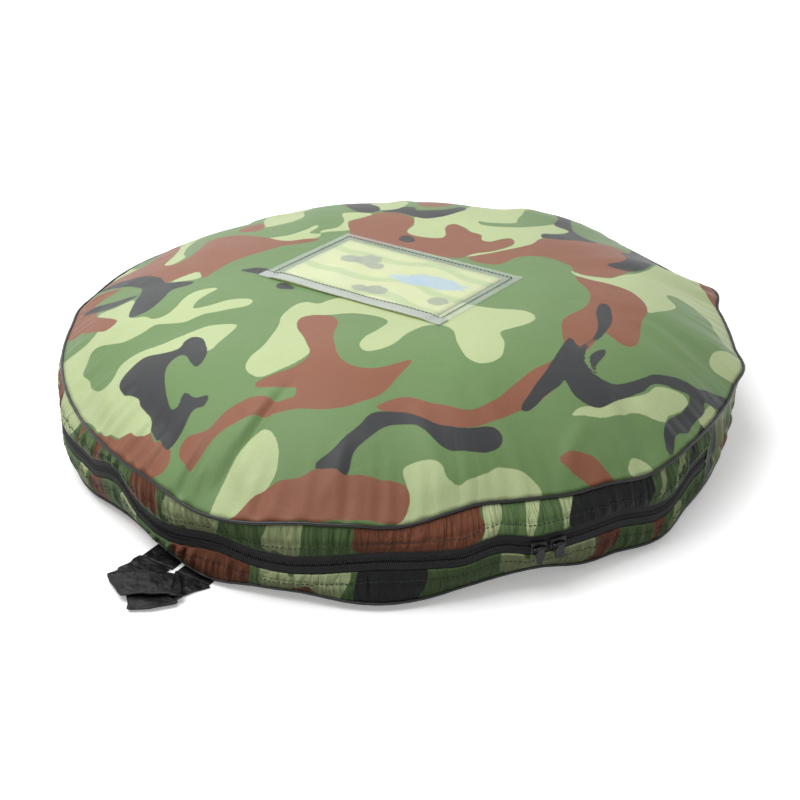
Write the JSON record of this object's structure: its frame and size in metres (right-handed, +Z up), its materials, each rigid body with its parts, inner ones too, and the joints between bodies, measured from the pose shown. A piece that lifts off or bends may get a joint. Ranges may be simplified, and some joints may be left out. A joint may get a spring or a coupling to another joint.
{
  "type": "pop up ground blind in carry bag",
  "caption": "Pop up ground blind folded inside its round zipped camouflage carry bag, with spring hoops, clear card pocket, zip sliders and webbing strap.",
  "frame": {"origin": "centre of the flat bottom panel, on the surface the bag rests on", "axes": "+Z up through the bag, -Y towards the front with the zip sliders, +X towards the lid's cloth hinge"},
  "size_m": [0.6033, 0.6205, 0.1457],
  "materials": {
    "camo_cloth": "coated woven polyester, woodland camouflage",
    "piping": "glossy black cord piping",
    "zip_tape": "woven black tape",
    "zip_coil": "black nylon coil",
    "black_metal": "black painted metal",
    "webbing": "black woven webbing",
    "spring_steel": "spring steel",
    "sleeve_cloth": "dark binding cloth",
    "stake_steel": "zinc plated steel",
    "clear_sheet": "clear soft plastic sheet",
    "card_stock": "printed card"
  },
  "bodies": {
    "base": {"bottom_panel": "camo_cloth", "bottom_piping": "piping", "lower_gusset": "camo_cloth", "hinge_panel_lower": "camo_cloth", "lower_zip_tape": "zip_tape", "lower_zip_coil": "zip_coil", "zip_stops": "black_metal", "strap_ends": "webbing", "hoop_wire_1": "spring_steel", "hoop_wire_2": "spring_steel", "hoop_wire_3": "spring_steel", "hoop_wire_4": "spring_steel", "hoop_sleeve_1": "sleeve_cloth", "hoop_sleeve_2": "sleeve_cloth", "hoop_sleeve_3": "sleeve_cloth", "hoop_sleeve_4": "sleeve_cloth", "wall_1": "camo_cloth", "wall_2": "camo_cloth", "wall_3": "camo_cloth", "wall_4": "camo_cloth", "roof": "camo_cloth", "stake_pouch": "sleeve_cloth", "stakes": "stake_steel"},
    "lid": {"top_panel": "camo_cloth", "top_piping": "piping", "upper_gusset": "camo_cloth", "hinge_panel_upper": "camo_cloth", "upper_zip_tape": "zip_tape", "upper_zip_coil": "zip_coil", "pocket_window": "clear_sheet", "pocket_mouth_strip": "clear_sheet"},
    "card": {"card": "card_stock"},
    "slider_left": {"slider_left": "black_metal"},
    "slider_right": {"slider_right": "black_metal"},
    "pull_left": {"pull_left": "black_metal"},
    "pull_right": {"pull_right": "black_metal"},
    "strap": {"carry_strap": "webbing"}
  },
  "joints": [
    {"name": "lid_hinge", "type": "hinge", "parent": "base", "child": "lid", "pos_m": [0.30058, 0, 0.044], "axis": [0, 1, 0], "range_deg": [0, 150]},
    {"name": "card_slide", "type": "slide", "parent": "lid", "child": "card", "axis": [-0.5807, -0.8116, 0.0639], "range_m": [0, 0.105]},
    {"name": "slider_left_travel", "type": "hinge", "parent": "base", "child": "slider_left", "pos_m": [0, 0, 0.044], "axis": [0, 0, 1], "range_deg": [-255, 0]},
    {"name": "slider_right_travel", "type": "hinge", "parent": "base", "child": "slider_right", "pos_m": [0, 0, 0.044], "axis": [0, 0, 1], "range_deg": [0, 31]},
    {"name": "pull_left_swing", "type": "hinge", "parent": "slider_left", "child": "pull_left", "pos_m": [0.11111, -0.28318, 0.044], "axis": [-0.9309, -0.3653, 0], "range_deg": [0, 150]},
    {"name": "pull_right_swing", "type": "hinge", "parent": "slider_right", "child": "pull_right", "pos_m": [0.12652, -0.27664, 0.044], "axis": [-0.9094, -0.4159, 0], "range_deg": [0, 150]},
    {"name": "strap_swing", "type": "hinge", "parent": "base", "child": "strap", "pos_m": [-0.1736, -0.2526, 0.002], "axis": [-0.8241, 0.5664, 0], "range_deg": [0, 60]}
  ]
}
